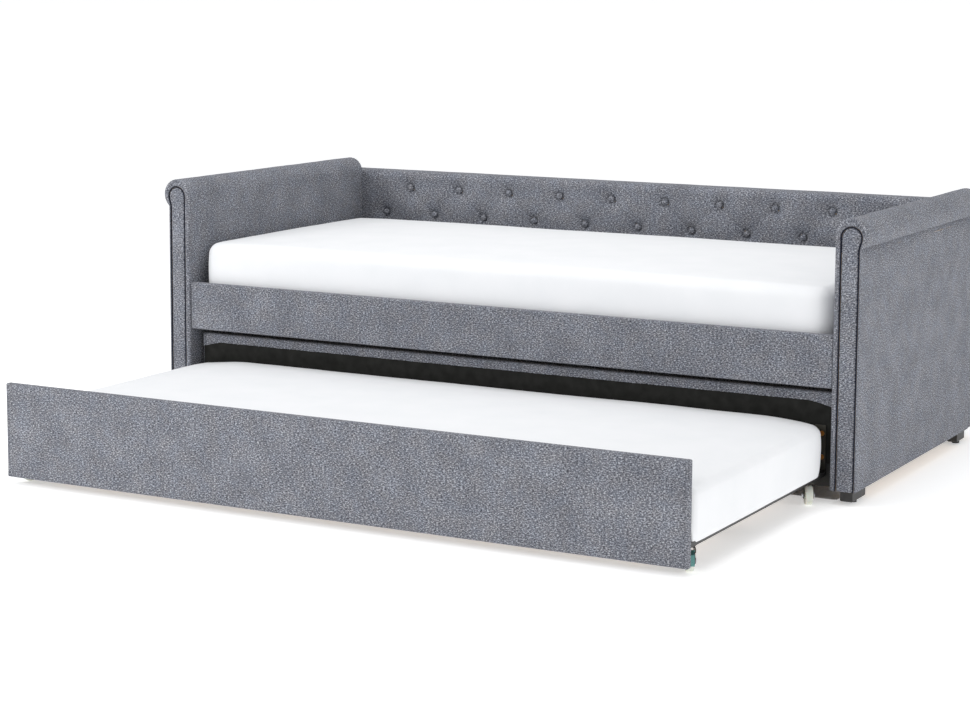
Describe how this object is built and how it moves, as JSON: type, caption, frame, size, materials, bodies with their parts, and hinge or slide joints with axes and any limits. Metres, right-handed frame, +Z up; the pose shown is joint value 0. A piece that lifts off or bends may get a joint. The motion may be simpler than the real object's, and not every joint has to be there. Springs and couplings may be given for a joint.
{
  "type": "trundle bed",
  "caption": "Upholstered daybed with rolled arms and a button-tufted back, over a wheeled trundle bed that rolls out from under its front rail; mattress on each.",
  "frame": {"origin": "bottom centre of the whole object's box with the trundle pulled out, on the floor", "axes": "+X along the bed's length to the right seen from the front, +Y from the trundle's front to the backrest, +Z up"},
  "size_m": [2.2198, 1.949, 0.756],
  "materials": {
    "upholstery": "heather grey-blue woven, rough",
    "piping": "dark woven cord",
    "mattress": "smooth white knit",
    "lining": "matte black non-woven",
    "webbing": "woven tape",
    "slat_wood": "planed, unfinished",
    "frame_timber": "sawn timber and plywood",
    "black_timber": "black satin paint",
    "black_plastic": "matte",
    "zinc": "bright zinc plated",
    "dark_steel": "dark lacquer",
    "yellow_zinc": "yellow zinc plated",
    "nylon": "satin off-white",
    "lever_paint": "blue-green plated"
  },
  "bodies": {
    "daybed": {"arm_roll_cores": "frame_timber", "backrest_buttons": "upholstery", "backrest_frame": "frame_timber", "backrest_pad": "upholstery", "backrest_panel": "frame_timber", "backrest_rear_cover": "upholstery", "bed_mattress": "mattress", "bed_slat_straps": "webbing", "bed_slats": "slat_wood", "centre_beam": "black_timber", "feet": "black_plastic", "foot_glides": "black_plastic", "front_rail_board": "frame_timber", "front_rail_cover": "upholstery", "left_arm_cover": "upholstery", "left_arm_facing": "upholstery", "left_arm_frame": "frame_timber", "left_arm_outer_panel": "upholstery", "left_arm_panel": "frame_timber", "left_arm_piping": "piping", "rail_bolts": "zinc", "rail_brackets": "zinc", "right_arm_cover": "upholstery", "right_arm_facing": "upholstery", "right_arm_frame": "frame_timber", "right_arm_outer_panel": "upholstery", "right_arm_panel": "frame_timber", "right_arm_piping": "piping", "slat_ledgers": "black_timber"},
    "trundle": {"trundle_centre_rail": "black_timber", "trundle_corner_bolts": "yellow_zinc", "trundle_corner_brackets": "dark_steel", "trundle_front_board": "frame_timber", "trundle_front_cover": "upholstery", "trundle_front_lining": "lining", "trundle_ledgers": "black_timber", "trundle_mattress": "mattress", "trundle_rear_board": "frame_timber", "trundle_rear_cover": "upholstery", "trundle_rear_lining": "lining", "trundle_rear_rail": "black_timber", "trundle_side_rails": "black_timber", "trundle_slat_straps": "webbing", "trundle_slats": "slat_wood", "caster_plates": "zinc", "caster_kingpins": "zinc"},
    "caster_front_left": {"caster_fork_front_left": "dark_steel", "caster_axle_front_left": "zinc"},
    "wheel_front_left": {"caster_wheel_front_left": "nylon"},
    "lever_front_left": {"brake_lever_front_left": "lever_paint"},
    "caster_front_right": {"caster_fork_front_right": "dark_steel", "caster_axle_front_right": "zinc"},
    "wheel_front_right": {"caster_wheel_front_right": "nylon"},
    "lever_front_right": {"brake_lever_front_right": "lever_paint"},
    "caster_rear_left": {"caster_fork_rear_left": "dark_steel", "caster_axle_rear_left": "zinc"},
    "wheel_rear_left": {"caster_wheel_rear_left": "nylon"},
    "caster_rear_right": {"caster_fork_rear_right": "dark_steel", "caster_axle_rear_right": "zinc"},
    "wheel_rear_right": {"caster_wheel_rear_right": "nylon"}
  },
  "joints": [
    {"name": "trundle_slide", "type": "slide", "parent": "daybed", "child": "trundle", "axis": [0, 1, 0], "range_m": [0, 0.874]},
    {"name": "caster_swivel_front_left", "type": "hinge", "parent": "trundle", "child": "caster_front_left", "pos_m": [-0.965, -0.8945, 0.06], "axis": [0, 0, 1], "continuous": true},
    {"name": "wheel_spin_front_left", "type": "hinge", "parent": "caster_front_left", "child": "wheel_front_left", "pos_m": [-0.974, -0.91009, 0.025], "axis": [0.866, -0.5, 0], "continuous": true},
    {"name": "brake_lever_front_left", "type": "hinge", "parent": "caster_front_left", "child": "lever_front_left", "pos_m": [-0.98, -0.92048, 0.051], "axis": [-0.866, 0.5, 0], "range_deg": [0, 10]},
    {"name": "caster_swivel_front_right", "type": "hinge", "parent": "trundle", "child": "caster_front_right", "pos_m": [0.965, -0.8945, 0.06], "axis": [0, 0, 1], "continuous": true},
    {"name": "wheel_spin_front_right", "type": "hinge", "parent": "caster_front_right", "child": "wheel_front_right", "pos_m": [0.974, -0.91009, 0.025], "axis": [0.866, 0.5, 0], "continuous": true},
    {"name": "brake_lever_front_right", "type": "hinge", "parent": "caster_front_right", "child": "lever_front_right", "pos_m": [0.98, -0.92048, 0.051], "axis": [-0.866, -0.5, 0], "range_deg": [0, 10]},
    {"name": "caster_swivel_rear_left", "type": "hinge", "parent": "trundle", "child": "caster_rear_left", "pos_m": [-0.965, -0.1125, 0.06], "axis": [0, 0, 1], "continuous": true},
    {"name": "wheel_spin_rear_left", "type": "hinge", "parent": "caster_rear_left", "child": "wheel_rear_left", "pos_m": [-0.97232, -0.09606, 0.025], "axis": [-0.9135, -0.4067, 0], "continuous": true},
    {"name": "caster_swivel_rear_right", "type": "hinge", "parent": "trundle", "child": "caster_rear_right", "pos_m": [0.965, -0.1125, 0.06], "axis": [0, 0, 1], "continuous": true},
    {"name": "wheel_spin_rear_right", "type": "hinge", "parent": "caster_rear_right", "child": "wheel_rear_right", "pos_m": [0.97345, -0.12839, 0.025], "axis": [0.8829, 0.4695, 0], "continuous": true}
  ]
}
